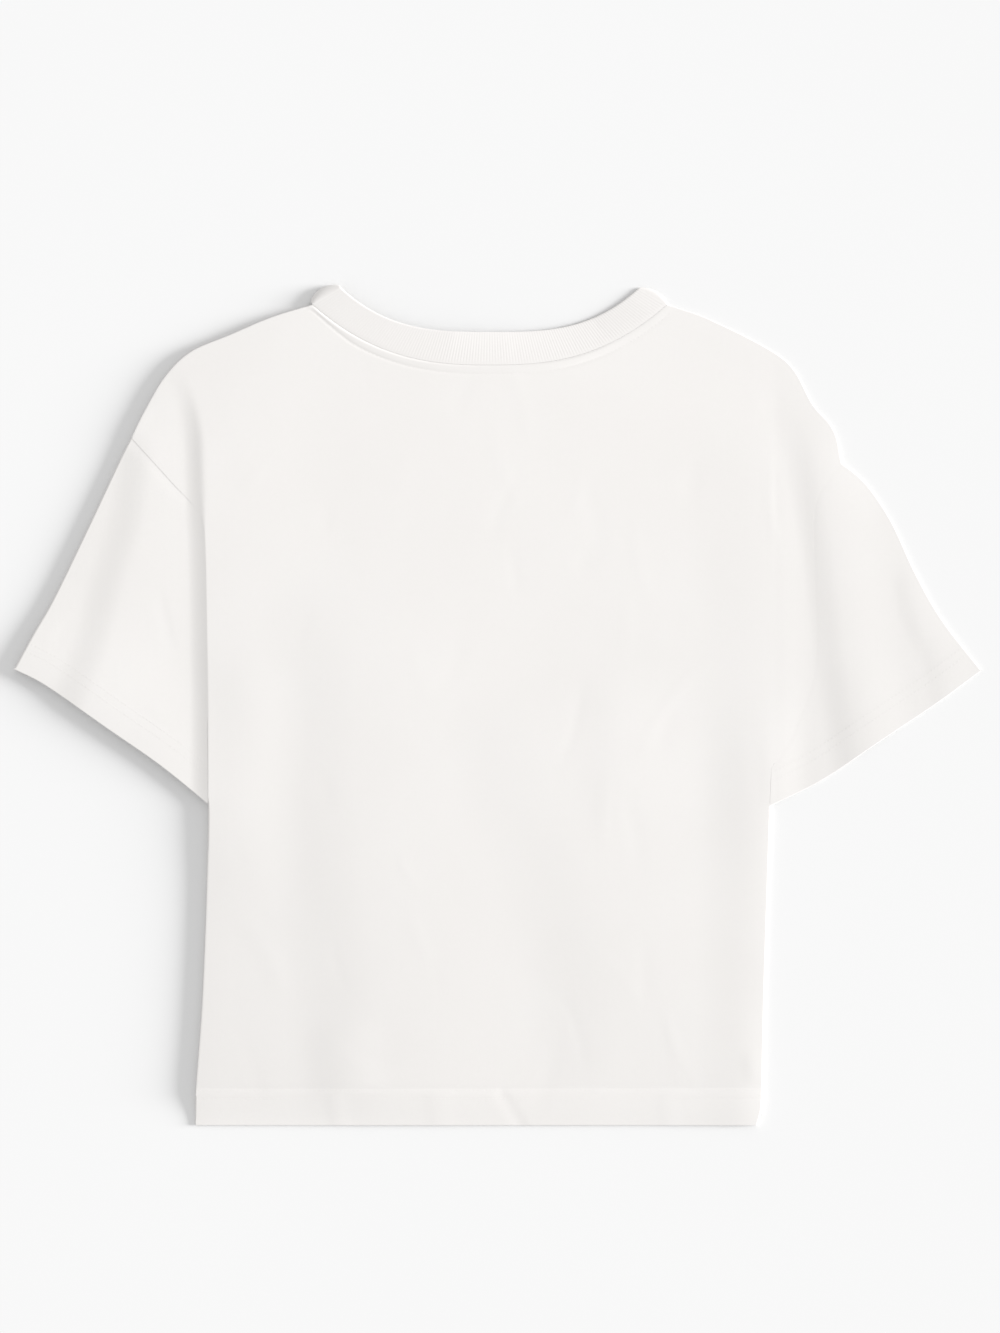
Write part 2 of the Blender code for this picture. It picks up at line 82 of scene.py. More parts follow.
# Heights of the upper surface. The shirt lies loosely on its left and pressed down on its right.
LEFT_HEIGHT, LEFT_X = 5.2, -160.0
RIGHT_HEIGHT, RIGHT_X = 1.05, 195.0
FALL_POWER = 1.5  # 1 falls evenly from left to right, and more falls later
HEM_HEIGHT = 1.35
HEM_FALL = 32.0  # how far above the hem the shirt starts to come down to it
CUFF_LIFT, CUFF_LIFT_REACH = 1.2, 78.0  # how far the left cuff gapes open, and from how far above it
CUFF_CORNER_X, CUFF_CORNER_REACH = -150.0, 100.0  # the body beside it stays down
NECK_SINK = 0.7  # how far the neck's right end lies down, as a share of its height above the right side
NECK_SINK_X, NECK_SINK_ACROSS = -20.0, 170.0
NECK_SINK_Y, NECK_SINK_UP = 500.0, 60.0
PILLOW = 0.12  # how far the surface sinks towards the outline
PILLOW_REACH = 18.0
ROLL = 0.24  # how far in from the outline the cloth rolls over, as a share of half of its height there
UNDERARM_ROLL, UNDERARM_REACH = 0.03, 3.0  # in millimetres, where a sleeve lies along the body
UNDERARM_GAP, UNDERARM_GAP_FADE = 0.03, 6.0  # from the body's edge, and down from the armpit
LEAST_HALF = 0.1  # from the middle of the outline's height to the innermost layer above or below it
TUCK = 8.0  # in from a rolled edge to where inner surfaces aren't moved

# The body's left edge stands up, and the cloth falls from its sharp crease to a hollow in the sleeve.
CREASE_PLACES = ((-226, 538), (-221, 527), (-212.3, 507), (-207.4, 484), (-206, 455), (-205.1, 428),
                 (-203.7, 398), (-202.8, 348), (-202.2, 312), (-201.9, 282), (-201.9, 220), (-203, 150))
CREASE_RISE, CREASE_RISE_REACH = 0.75, 100.0
CREASE_FALL, CREASE_FALL_REACH = 1.2, 12.0
CREASE_POWER = 1.6  # 1 falls evenly, and more is steepest at the crease
HOLLOW_REACH = 110.0  # from the foot of the fall to where the sleeve is as high as without it
CREASE_FADE = 75.0  # down from the shoulder
CREASE_END_Y, CREASE_END_UP = 165.0, 85.0  # and below the armpit

# Neck. Each neckline is a superellipse, level at its middle and steepest at the shoulders.
Neckline = namedtuple("Neckline", "half_width top depth power")
NECK_CENTRE = -5.4
BACK_SEAM = Neckline(124.0, 574.0, 42.4, 2.6)
BACK_RIB_EDGE = Neckline(104.0, 585.6, 30.8, 3.1)
FRONT_SEAM = Neckline(124.0, 574.0, 101.0, 2.3)
FRONT_RIB_EDGE = Neckline(104.0, 585.6, 88.6, 2.4)

# Marks that the outline runs through: x and y on the wearer's left (at -X), then x and y on the right.
ARMPIT = (-202.6, 282.0, 191.6, 250.0)
ARMHOLE_TOP = (-256.0, 481.0, 240.5, 463.0)
ARMHOLE_BEND = (-207.6, 426.0, 221.5, 430.0)
CUFF_CORNER = (-337.8, 319.2, 338.4, 318.0)
SIDE = (
    (-211.2, 0.0, 181.0, 0.0), (-211.0, 25.0, 184.2, 14.0), (-206.7, 84.0, 186.0, 84.0),
    (-203.6, 158.0, 188.3, 158.0), (-202.2, 224.0, 190.4, 223.0), ARMPIT,
)
ARMHOLE = (
    ARMPIT, (-202.8, 312.0, 207.0, 276.0), (-203.2, 348.0, 222.0, 322.0),
    (-204.3, 398.0, 221.5, 388.0), ARMHOLE_BEND, (-227.0, 449.0, 229.0, 449.0), ARMHOLE_TOP,
)
OVERARM = (
    ARMHOLE_TOP, (-264.4, 464.5, 257.5, 449.0), (-287.7, 415.0, 275.5, 422.5),
    (-310.5, 368.0, 292.5, 386.0), (-324.3, 344.0, 311.0, 353.5), CUFF_CORNER,
)
SHOULDER = (
    ARMHOLE_TOP, (-247.0, 499.2, 235.0, 486.5), (-232.5, 523.6, 220.5, 504.5),
    (-214.5, 541.0, 207.5, 528.4), (-186.8, 553.0, 190.0, 542.8), (-158.0, 565.2, 150.0, 563.0),
    (-129.4, 574.0, 118.6, 574.0),
)
CUFF = (
    CUFF_CORNER, (-315.0, 307.3, 309.4, 296.6), (-273.0, 278.0, 263.5, 265.8),
    (-236.0, 252.2, 227.0, 241.4), (-202.35, 225.0, 190.6, 223.4),
)
SIDES = ("left", "right")
FAR = 40.0  # distances beyond this don't matter
CORNER_CLEAR = 0.5  # from the underarm's lower corner to its next point

# A fold follows a line through its places. Its lift is the height that it adds there, below zero for a
# trough. Left and right are its reach to either side, seen from its first place to its last.
Fold = namedtuple("Fold", "lift left right fade_in fade_out places")
BACK_FOLDS = (
    # The left sleeve's crest and trough.
    Fold(0.3, 60, 28, 26, 4, ((-240, 490), (-244, 452), (-248, 424), (-256, 396), (-264, 368),
          (-270, 340), (-281, 312), (-308, 240))),
    Fold(-0.7, 28, 100, 26, 4, ((-264, 490), (-269, 452), (-274, 424), (-283, 396), (-291, 368),
          (-298, 340), (-309, 312), (-338, 240))),
    # The body's right edge, then the right sleeve: its crest, the crest's end at the cuff and its crease.
    Fold(0.42, 28, 60, 50, 50, ((186, 505), (190, 440), (193, 330), (193, 240), (192, 160))),
    Fold(0.66, 42, 24, 60, 6, ((212, 514), (226, 451), (234, 409), (240, 367), (243, 339), (246, 311),
          (250, 283), (259, 230))),
    Fold(0.3, 40, 30, 44, 4, ((250, 335), (256, 310), (263, 283), (272, 225))),
    Fold(0.22, 24, 15, 20, 4, ((287, 396), (293, 362), (300, 346), (309, 328), (322, 268))),
    # The back.
    Fold(1.0, 140, 64, 120, 50, ((-104, 420), (-100, 330), (-97, 200), (-86, 120), (-82, -20))),
    Fold(0.45, 40, 40, 60, 60, ((-176, 350), (-172, 280), (-174, 200), (-168, 130))),
    Fold(0.62, 110, 64, 50, 40, ((20, 320), (32, 250), (56, 190), (76, 130), (86, 10))),
    Fold(0.36, 70, 36, 40, 40, ((90, 326), (86, 270), (92, 195))),
    Fold(0.6, 30, 44, 70, 14, ((186, 320), (186, 240), (184, 140), (184, -10))),
    Fold(0.45, 36, 80, 50, 10, ((168, 110), (166, 60), (166, -10))),
    # Dents, puckers and swells by the hem.
    Fold(0.36, 34, 30, 24, 12, ((-112, 82), (-108, 50), (-104, 18))),
    Fold(0.11, 12, 9, 6, 4, ((-117, 24), (-113, 12), (-110, -6))),
    Fold(-0.15, 6, 8, 7, 4, ((0, 28), (7, 16), (20, -6))),
    Fold(0.1, 16, 12, 8, 4, ((-44, 28), (-42, 14), (-40, -6))),
    Fold(0.08, 12, 10, 6, 4, ((118, 25), (119, 12), (120, -6))),
    Fold(0.2, 20, 11, 10, 10, ((177, 56), (179, 42), (181, 26))),
)
# On the underside, the lifts are how far the cloth rises off the floor.
FRONT_FOLDS = (
    # The left, middle and right of the front, and beside the two armholes.
    Fold(0.8, 50, 40, 90, 60, ((-120, 420), (-128, 300), (-118, 160), (-130, 40))),
    Fold(0.6, 40, 55, 80, 70, ((-20, 400), (-8, 280), (-24, 150), (-10, 34))),
    Fold(0.4, 40, 36, 100, 60, ((98, 380), (88, 240), (102, 120), (92, 36))),
    Fold(0.6, 26, 22, 50, 40, ((-180, 500), (-174, 430), (-183, 350), (-178, 262))),
    Fold(0.3, 20, 26, 50, 40, ((170, 500), (160, 420), (170, 330), (164, 262))),
    # The sleeves, and the left side.
    Fold(0.7, 24, 30, 40, 6, ((-240, 446), (-252, 390), (-262, 330), (-284, 272))),
    Fold(0.3, 22, 18, 40, 6, ((246, 420), (256, 360), (262, 320), (280, 262))),
    Fold(0.4, 20, 14, 40, 40, ((-178, 220), (-172, 150), (-180, 70))),
)
UNDERSIDE_FADE = 10.0  # in from the rolled outline

# Small wrinkles, spread by chance.
WRINKLES = 70
WRINKLE_LIFT = (0.02, 0.07)
WRINKLE_REACH = (4.0, 13.0)
WRINKLE_HALF_LENGTH = (12.0, 45.0)
WRINKLE_AREA = ((-320.0, 20.0), (320.0, 560.0))
WRINKLE_TURN = 0.5  # spread of their directions about straight down, in radians
WRINKLE_BOW, WRINKLE_FADE = 0.2, 0.8  # in half lengths
UPPER_SEED, LOWER_SEED = 11, 12

# Points.
PATH_POINTS, FOLD_POINTS, NECK_POINTS = 160, 48, 200
SPAN_POINTS = 16  # between two marks, before they are spaced evenly
ROUND_POINTS = 9  # round a fold of the cloth, with both ends
SAME_POINT = 1e-6  # metres within which two corners are one
SHARP_ANGLE = 60  # degrees


# Paths.


def smooth_path(points, count=PATH_POINTS):
    """A Catmull-Rom curve through the points, read at evenly spaced places."""
    knots = np.asarray(points, float)
    ends = np.vstack([2 * knots[0] - knots[1], knots, 2 * knots[-1] - knots[-2]])
    share = np.linspace(0, 1, SPAN_POINTS, endpoint=False)[:, None]
    spans = []
    for before, start, stop, after in zip(ends, ends[1:], ends[2:], ends[3:]):
        span = start + 0.5 * share * (stop - before)
        span = span + share**2 * (before - 2.5 * start + 2 * stop - 0.5 * after)
        spans.append(span + share**3 * (1.5 * (start - stop) + 0.5 * (after - before)))
    fine = np.vstack([*spans, knots[-1:]])
    return points_at(fine, np.linspace(0, distances_along(fine)[-1], count))


def distances_along(path):
    return np.concatenate([[0], np.cumsum(np.linalg.norm(np.diff(path, axis=0), axis=1))])


def points_at(path, places):
    """The points of a path at these distances from its start."""
    along = distances_along(path)
    return np.column_stack([np.interp(places, along, path[:, axis]) for axis in range(path.shape[1])])


def spaced(path, spans, start=(0.0,), end=(0.0,)):
    """Points at the steps from each end of a path, with this many equal spans between them."""
    total = distances_along(path)[-1]
    middle = np.linspace(start[-1], total - end[-1], spans + 1)
    places = np.concatenate([start[:-1], middle, total - np.array(end[:-1])[::-1]])
    return points_at(path, places)


def joined(*paths):
    """Paths end to end, without their shared points twice."""
    return np.vstack([paths[0], *[path[1:] for path in paths[1:]]])


def place_of(mark, side):
    return mark[:2] if side == "left" else mark[2:]


def marked(marks, side):
    return smooth_path([place_of(mark, side) for mark in marks])


def underarm(side):
    """A sleeve's underarm from the armpit down to its cuff, just clear of the body's edge."""
    path = marked(SIDE, side)[::-1]
    end = place_of(CUFF[-1], side)[1]
    corner = (np.interp(end, path[::-1, 1], path[::-1, 0]), end)
    path = np.vstack([path[path[:, 1] > end + CORNER_CLEAR], corner])
    away = UNDERARM_GAP * np.clip((path[0, 1] - path[:, 1]) / UNDERARM_GAP_FADE, 0, 1)
    return path + np.column_stack([away if side == "right" else -away, np.zeros(len(path))])


def neckline_height(line, x):
    share = np.clip(np.abs(x - NECK_CENTRE) / line.half_width, 0, 1)
    return line.top - line.depth * (1 - share**line.power)


def neckline_path(line):
    """A neckline from its left end to its right end."""
    x = NECK_CENTRE + line.half_width * np.sin(np.linspace(-np.pi / 2, np.pi / 2, NECK_POINTS))
    return np.column_stack([x, neckline_height(line, x)])


def unit(vectors):
    return vectors / np.linalg.norm(vectors, axis=-1, keepdims=True)


def left_of(path):
    """The direction to the left of a path at each of its points."""
    run = unit(np.gradient(path, axis=0))
    return np.column_stack([-run[:, 1], run[:, 0]])


def beside(path, plan):
    """Where points are as seen along a path: how far to its left, and how far along it."""
    start, run = path[:-1], np.diff(path, axis=0)
    lengths = np.linalg.norm(run, axis=1)
    offset = plan[:, None, :] - start
    share = np.clip((offset * run).sum(-1) / lengths**2, 0, 1)
    away = np.linalg.norm(offset - share[..., None] * run, axis=-1)
    nearest = away.argmin(axis=1)
    each = np.arange(len(plan))
    turn = run[nearest, 0] * offset[each, nearest, 1] - run[nearest, 1] * offset[each, nearest, 0]
    along = distances_along(path)[nearest] + share[each, nearest] * lengths[nearest]
    return np.where(turn < 0, -1, 1) * away[each, nearest], along


def near_path(path, points, reach):
    """Which points are within reach of a path's box."""
    return ((points > path.min(axis=0) - reach) & (points < path.max(axis=0) + reach)).all(axis=1)


def distance_to(path, plan, reach=FAR):
    """Distance in plan from each point to a path, for points that are within reach of its box."""
    points = plan.reshape(-1, 2)
    distance = np.full(len(points), float(reach))
    near = near_path(path, points, reach)
    if near.any():
        distance[near] = np.minimum(np.abs(beside(path, points[near])[0]), reach)
    return distance.reshape(plan.shape[:-1])


def least_distance(paths, plan):
    """Distance in plan from each point to the nearest of some paths."""
    return np.min([distance_to(path, plan) for path in paths], axis=0)


# Heights.


def ease(value):
    """0 below 0, 1 above 1 and smooth between."""
    value = np.clip(value, 0, 1)
    return value * value * (3 - 2 * value)


def bell(value):
    """1 at 0, and smoothly down to nothing by about 2 on either side."""
    return np.exp(-value * value)


def hump(value):
    """1 at 0, and smoothly down to 0 at 1 on either side."""
    return 0.5 + 0.5 * np.cos(np.pi * np.clip(value, -1, 1))


def wrinkles(seed, ways):
    """Small folds by chance. Ways are the signs that their lifts may have."""
    chance = np.random.default_rng(seed)
    folds = []
    for _ in range(WRINKLES):
        centre = chance.uniform(*WRINKLE_AREA)
        turned = chance.normal(-np.pi / 2, WRINKLE_TURN)
        run = np.array([np.cos(turned), np.sin(turned)]) * chance.uniform(*WRINKLE_HALF_LENGTH)
        bow = np.array([-run[1], run[0]]) * chance.uniform(-WRINKLE_BOW, WRINKLE_BOW)
        places = (centre - run, centre + bow, centre + run)
        fade = np.linalg.norm(run) * WRINKLE_FADE
        left, right = chance.uniform(*WRINKLE_REACH, 2)
        lift = chance.uniform(*WRINKLE_LIFT) * chance.choice(ways)
        folds.append(Fold(lift, left, right, fade, fade, places))
    return folds


def fold_height(folds, plan):
    """Height that a table of folds adds at the points of a plan."""
    points = plan.reshape(-1, 2)
    total = np.zeros(len(points))
    for fold in folds:
        line = smooth_path(fold.places, FOLD_POINTS)
        near = near_path(line, points, max(fold.left, fold.right))
        if not near.any():
            continue
        offset, along = beside(line, points[near])
        across = hump(offset / np.where(offset > 0, fold.left, fold.right))
        length = distances_along(line)[-1]
        ends = ease(along / fold.fade_in) * ease((length - along) / fold.fade_out)
        total[near] += fold.lift * across * ends
    return total.reshape(plan.shape[:-1])


UNDERARMS = {side: underarm(side) for side in SIDES}
ROLLED = [marked(marks, side)[::2] for side in SIDES for marks in (SIDE, OVERARM, SHOULDER)]
ROLLED += [path[::2] for path in UNDERARMS.values()]
# The free part of the outline, which leaves out where a sleeve lies along the body.
FREE = [marked(marks, side)[::2] for side in SIDES for marks in (OVERARM, SHOULDER)]
for side, under in UNDERARMS.items():
    side_path = marked(SIDE, side)[::2]
    FREE.append(side_path[side_path[:, 1] < under[-1, 1]][::2])
ARMHOLES = {side: marked(ARMHOLE, side) for side in SIDES}
CUFFS = {side: marked(CUFF, side) for side in SIDES}
NECK_SEAM = {"back": neckline_path(BACK_SEAM), "front": neckline_path(FRONT_SEAM)}


def inward_of(plan):
    """Distance in from the rolled outline, which is all of it but the hem, the cuffs and the neck."""
    return least_distance(ROLLED, plan)


def quarter_turn(share):
    """0 at the outline and 1 where the cloth has rolled over, along a quarter of an ellipse."""
    return np.sqrt(1 - (1 - np.clip(share, 0, 1)) ** 2)


def spread_height(plan):
    """Height of the upper surface before its folds and seams are added."""
    x, y = plan[..., 0], plan[..., 1]
    share = np.clip((x - LEFT_X) / (RIGHT_X - LEFT_X), 0, 1)
    height = LEFT_HEIGHT + (RIGHT_HEIGHT - LEFT_HEIGHT) * share**FALL_POWER
    height = height + (HEM_HEIGHT - height) * ease(1 - y / HEM_FALL)
    sink = ease((x - NECK_SINK_X) / NECK_SINK_ACROSS) * ease((y - NECK_SINK_Y) / NECK_SINK_UP)
    height = height - NECK_SINK * sink * (height - RIGHT_HEIGHT)
    gape = ease(1 - distance_to(CUFFS["left"], plan, 2 * FAR) / CUFF_LIFT_REACH)
    return height + CUFF_LIFT * gape * ease((CUFF_CORNER_X - x) / CUFF_CORNER_REACH)


def crease_height(plan):
    """Height that the crease by the left armhole adds on the body, and takes away again beyond it."""
    points = plan.reshape(-1, 2)
    total = np.zeros(len(points))
    line = smooth_path(CREASE_PLACES)
    near = points[:, 0] < line[:, 0].max() + CREASE_RISE_REACH
    offset, along = beside(line, points[near])
    beyond = np.maximum(-offset, 0)
    rise = CREASE_RISE * hump(np.maximum(offset, 0) / CREASE_RISE_REACH)
    fall = CREASE_FALL * (1 - (1 - np.clip(beyond / CREASE_FALL_REACH, 0, 1)) ** CREASE_POWER)
    back = 1 - np.clip(1 - (beyond - CREASE_FALL_REACH) / HOLLOW_REACH, 0, 1) ** 2
    ends = ease(along / CREASE_FADE) * ease((points[near, 1] - CREASE_END_Y) / CREASE_END_UP)
    total[near] = ends * (rise - fall) * (1 - back)
    return total.reshape(plan.shape[:-1])


def middle_height(plan):
    """Height at which the upper and the lower layer meet at the outline."""
    return (spread_height(plan) - PILLOW) / 2


def upper_rest(plan):
    """Height of the upper surface without its rolled edge and its seams."""
    inward = least_distance(FREE, plan)
    pillow = PILLOW * (1 - np.clip(inward / PILLOW_REACH, 0, 1)) ** 2
    return spread_height(plan) - pillow + fold_height(UPPER_FOLDS, plan) + crease_height(plan)


def lower_rest(plan):
    """Height of the underside, which is flat on the surface but for its folds."""
    most = np.maximum(middle_height(plan) - CLOTH - LEAST_HALF, 0)
    return np.clip(fold_height(LOWER_FOLDS, plan), 0, most) * ease(inward_of(plan) / UNDERSIDE_FADE)


UPPER_FOLDS = [*BACK_FOLDS, *wrinkles(UPPER_SEED, (-1, 1))]
LOWER_FOLDS = [*FRONT_FOLDS, *wrinkles(LOWER_SEED, (1,))]


def neck_groove(x):
    """How far from the neck seam the line of stitches runs, which is closer at the left shoulder."""
    return NECK_ROW_LEFT + NECK_ROW_MORE * ease((x - NECK_ROW_X) / NECK_ROW_REACH)


def seam_relief(plan, layer):
    """Height that the neck's seam raises the cloth below the rib, and how far its stitches draw it in."""
    to_neck = distance_to(NECK_SEAM[layer], plan)
    groove = neck_groove(plan[..., 0])
    shows = 1 - NECK_FLAT_SHARE * ease((plan[..., 0] - NECK_FLAT_X) / NECK_FLAT_REACH)
    falls = ease((to_neck - NECK_BAND_END) / (groove - NECK_BAND_SHORT))
    raised = NECK_BAND * ease(to_neck / NECK_BAND_RISE) * (1 - falls)
    stitched = GROOVE * bell((to_neck - groove) / NECK_GROOVE_HALF)
    sunk = NECK_SEAM_DIP * bell(to_neck / NECK_GROOVE_HALF) + stitched
    return shows * raised, shows * sunk


def armhole_relief(plan):
    """How far a sleeve is drawn in along its armhole, below the body's edge."""
    above_crease = ease((plan[..., 1] - ARMHOLE_TURN_Y) / ARMHOLE_DIP_FADE)
    left = LEFT_ARMHOLE_DIP * above_crease * bell(distance_to(ARMHOLES["left"], plan) / LEFT_DIP_REACH)
    return left + RIGHT_ARMHOLE_DIP * bell(distance_to(ARMHOLES["right"], plan) / RIGHT_DIP_REACH)


def turned_relief(to_edge, turn):
    """Height that a turned-up layer adds, and how far its two rows of stitches draw the cloth in."""
    first = to_edge - (turn - STITCH_ROW)
    second = first + STITCH_GAUGE
    raised = TURNED_STEP * ease((turn + TURNED_PAST - to_edge) / TURNED_FADE)
    return raised, GROOVE * bell(first / GROOVE_HALF) + SECOND_GROOVE * bell(second / GROOVE_HALF)


def relief_of(plan, layer, to_edge, turn, share):
    """The raised and the drawn-in height of a piece. Share is how much of it shows by a hem or a cuff."""
    raised, sunk = seam_relief(plan, layer)
    turned_raised, turned_sunk = turned_relief(to_edge, turn)
    return raised + share * turned_raised, sunk + share * turned_sunk


# Plan grids.

EDGE_STEPS = (0.0, 0.03, 0.15, 0.5, 1.05, 1.75, 2.5, 3.3, 4.1, 4.9, 5.5, 6.1, 6.8, 7.8, 9.4, 11.4)
MOVED_POINTS = 40  # at each end of a line
STEPS_ROOM = 1.6  # room that the steps need, as a share of their reach
FOLD_STEPS = (0.0, 0.5, 1.2, 2.2, 3.5, 5.0)  # rows from the fold of a hem
PLAIN_ROWS, PLAIN_CLEAR = 5, 1.6  # and on, to this short of the stitches
STITCH_STEPS = (-0.8, -0.4, 0.0, 0.4, 0.8)  # about a row of stitches
BETWEEN_STEPS = (2.0, 3.4)  # and from the second row on to the first
CUFF_END_POINTS = 4  # which a cuff's corner takes the place of
EVERY = slice(None)


def spread(bottom, right, top, left):
    """A grid of plan points between four edges. Bottom and top run to the right, left and right run up."""
    across = (distances_along(bottom) / distances_along(bottom)[-1])[None, :, None]
    up = (distances_along(left) / distances_along(left)[-1])[:, None, None]
    corners = (1 - up) * ((1 - across) * bottom[0] + across * bottom[-1])
    corners = corners + up * ((1 - across) * top[0] + across * top[-1])
    return (1 - up) * bottom + up * top + (1 - across) * left[:, None] + across * right[:, None] - corners


def settle(lines, edge, steps):
    """Space the first points of lines by these steps from the edge that they start at, scaled down to fit."""
    away = distance_to(edge, lines[:, :MOVED_POINTS], 10 * FAR)
    for line, apart in zip(lines, away):
        apart = np.maximum.accumulate(apart)
        near = np.array(steps) * min(1, apart[-1] / (STEPS_ROOM * steps[-1]))
        rest = np.linspace(near[-1], apart[-1], MOVED_POINTS - len(steps) + 1)[1:]
        places = np.concatenate([near, rest])
        start = line[:MOVED_POINTS]
        start[:] = np.column_stack([np.interp(places, apart, start[:, axis]) for axis in range(2)])


def turned_rows(turn):
    """Distances from a hem's edge of the rows that show its fold, its stitches and its inner layer's end."""
    first = turn - STITCH_ROW
    second = first - STITCH_GAUGE
    near = TURNED / 2 + np.array(FOLD_STEPS)
    plain = np.linspace(near[-1], second - PLAIN_CLEAR, PLAIN_ROWS)[1:]
    stitched = [second + step for step in (*STITCH_STEPS, *BETWEEN_STEPS)]
    stitched += [first + step for step in STITCH_STEPS]
    return (*near, *plain, *stitched, turn, turn + STITCH_STEPS[-1])


def way_in(plan):
    """The plan direction in from the nearest part of the rolled outline."""
    best, way = np.full(plan.shape[:-1], np.inf), np.zeros(plan.shape)
    step = 0.05
    for path in ROLLED:
        away = distance_to(path, plan)
        slope = [distance_to(path, plan + np.array(offset)) - away for offset in ((step, 0), (0, step))]
        closer = away < best
        best = np.where(closer, away, best)
        way[closer] = np.stack(slope, axis=-1)[closer]
    return way / np.maximum(np.linalg.norm(way, axis=-1, keepdims=True), SAME_POINT)


class Plan:
    """A piece's plan grid, with how far its turned-up layer reaches and which of its border is rolled."""

    def __init__(self, bottom, right, top, left, turn, rolled):
        self.points = spread(bottom, right, top, left)
        settle(self.points, left, EDGE_STEPS)
        settle(self.points[:, ::-1], right, EDGE_STEPS)
        settle(self.points.transpose(1, 0, 2)[:, ::-1], top, EDGE_STEPS)
        self.turned = turned_rows(turn).index(turn)
        self.rolled = rolled

    def inward_way(self):
        """The plan direction in from the outline, along which inner surfaces move beside a rolled edge."""
        way = way_in(self.points)
        for row, column in zip(*np.nonzero(self.rolled)):
            rows, columns = self.rolled.shape
            if column in (0, columns - 1):
                inside = (row, 1 if column == 0 else columns - 2)
            else:
                inside = (rows - 2, column)
            step = self.points[inside] - self.points[row, column]
            way[row, column] = step / np.linalg.norm(step)
        return way


def up_from_cuff(path, side):
    """The direction in from a cuff at each point of its line."""
    return left_of(path) * (-1 if side == "right" else 1)


def body_plan(half):
    """The plan of the back or the front."""
    rows = turned_rows(HEM_TURN)
    side_rows, armhole_rows, shoulder_columns, neck_columns = 78, 62, 52, 80
    edges = {}
    for side in SIDES:
        edges[side] = (
            spaced(marked(SIDE, side), side_rows, start=rows),
            spaced(ARMHOLES[side], armhole_rows, end=EDGE_STEPS),
            spaced(marked(SHOULDER, side), shoulder_columns, start=EDGE_STEPS),
        )
    neck = spaced(NECK_SEAM[half], neck_columns)
    left, right = (joined(*edges[side][:2]) for side in SIDES)
    top = joined(edges["left"][2], neck, edges["right"][2][::-1])
    hem_columns = 2 * shoulder_columns + neck_columns
    hem = spaced(np.array([left[0], right[0]]), hem_columns, EDGE_STEPS, EDGE_STEPS)
    rolled = np.zeros((len(left), len(hem)), bool)
    rolled[: len(edges["left"][0]), [0, -1]] = True
    rolled[-1, : len(edges["left"][2])] = rolled[-1, -len(edges["right"][2]) :] = True
    return Plan(hem, right, top, left, HEM_TURN, rolled)


def sleeve_plan(side):
    """The plan of a flattened sleeve, from its cuff up to its armhole and its overarm in to its underarm."""
    rows = turned_rows(CUFF_TURN)
    across, low_rows = 56, 44
    underarm_rows = 10 if side == "left" else 2
    armhole = ARMHOLES[side]
    split = np.linalg.norm(armhole - place_of(ARMHOLE_BEND, side), axis=1).argmin()
    # The cuff's line is moved in by half of the turned cloth, so that its round fold ends on the line.
    cuff = CUFFS[side] + up_from_cuff(CUFFS[side], side) * TURNED / 2
    under = spaced(UNDERARMS[side][::-1], underarm_rows, start=rows)
    low = spaced(armhole[: split + 1], low_rows, end=EDGE_STEPS)
    right = joined(under, low)
    spans = len(right) - len(rows) - len(EDGE_STEPS) + 1
    left = spaced(marked(OVERARM, side)[::-1], spans, rows, EDGE_STEPS)
    top = spaced(armhole[split:][::-1], across, EDGE_STEPS, EDGE_STEPS)
    ends = np.array([left[0], *cuff[CUFF_END_POINTS:-CUFF_END_POINTS], right[0]])
    bottom = spaced(ends, across, EDGE_STEPS, EDGE_STEPS)
    rolled = np.zeros((len(left), len(bottom)), bool)
    rolled[:, 0] = rolled[: len(under), -1] = True
    plan = Plan(bottom, right, top, left, CUFF_TURN, rolled)
    plan.armpit_row = len(under) - 1
    return plan


# Walls of cloth.


class Layer:
    """The upper or the lower layer of cloth over a plan."""

    def __init__(self, plan, upper, gap):
        self.plan, self.sign = plan, 1 if upper else -1
        points = plan.points
        self.inward = inward_of(points)
        self.inward[plan.rolled] = 0.0
        self.way = plan.inward_way()
        self.rest = upper_rest(points) if upper else lower_rest(points)
        self.middle = middle_height(points) + self.sign * gap / 2
        to_underarm = least_distance(UNDERARMS.values(), points)
        self.roll = UNDERARM_ROLL + (ROLL * self.middle - UNDERARM_ROLL) * ease(to_underarm / UNDERARM_REACH)

    def surface(self, depth, relief=0.0):
        """Points at a depth in the wall. Beside a rolled edge they also move in, to keep its thickness."""
        moved = depth * (1 - np.clip(self.inward / TUCK, 0, 1))
        half = np.maximum(self.sign * (self.rest - self.middle) - depth, LEAST_HALF)
        turn = quarter_turn((self.inward + moved - depth) / self.roll)
        turn[self.plan.rolled] = 0.0
        height = self.middle + self.sign * (half * turn + relief * turn)
        return np.dstack([self.plan.points + self.way * moved[..., None], height])

    def walls(self, raised, sunk):
        """The outer and inner surface, from the end of the turned-up part, round the edge and up the piece.

        The lower layer lies flat, so that only its stitches' grooves show there.
        """
        relief = raised - sunk if self.sign > 0 else -sunk
        outward = self.plan.points[0] - self.plan.points[1]
        outward = np.column_stack([unit(outward), np.zeros(len(outward))])
        angles = np.linspace(np.pi, 0, ROUND_POINTS)[1:-1]
        surfaces = []
        for depth in (0.0, CLOTH):
            surface, turned = self.surface(depth, relief), self.surface(TURNED - depth)
            centre, half = (turned[0] + surface[0]) / 2, (surface[0] - turned[0]) / 2
            swell = outward * (TURNED / 2 - depth)
            rounded = [centre + half * np.cos(angle) + swell * np.sin(angle) for angle in angles]
            surfaces.append(np.concatenate([turned[self.plan.turned :: -1], rounded, surface]))
        return surfaces


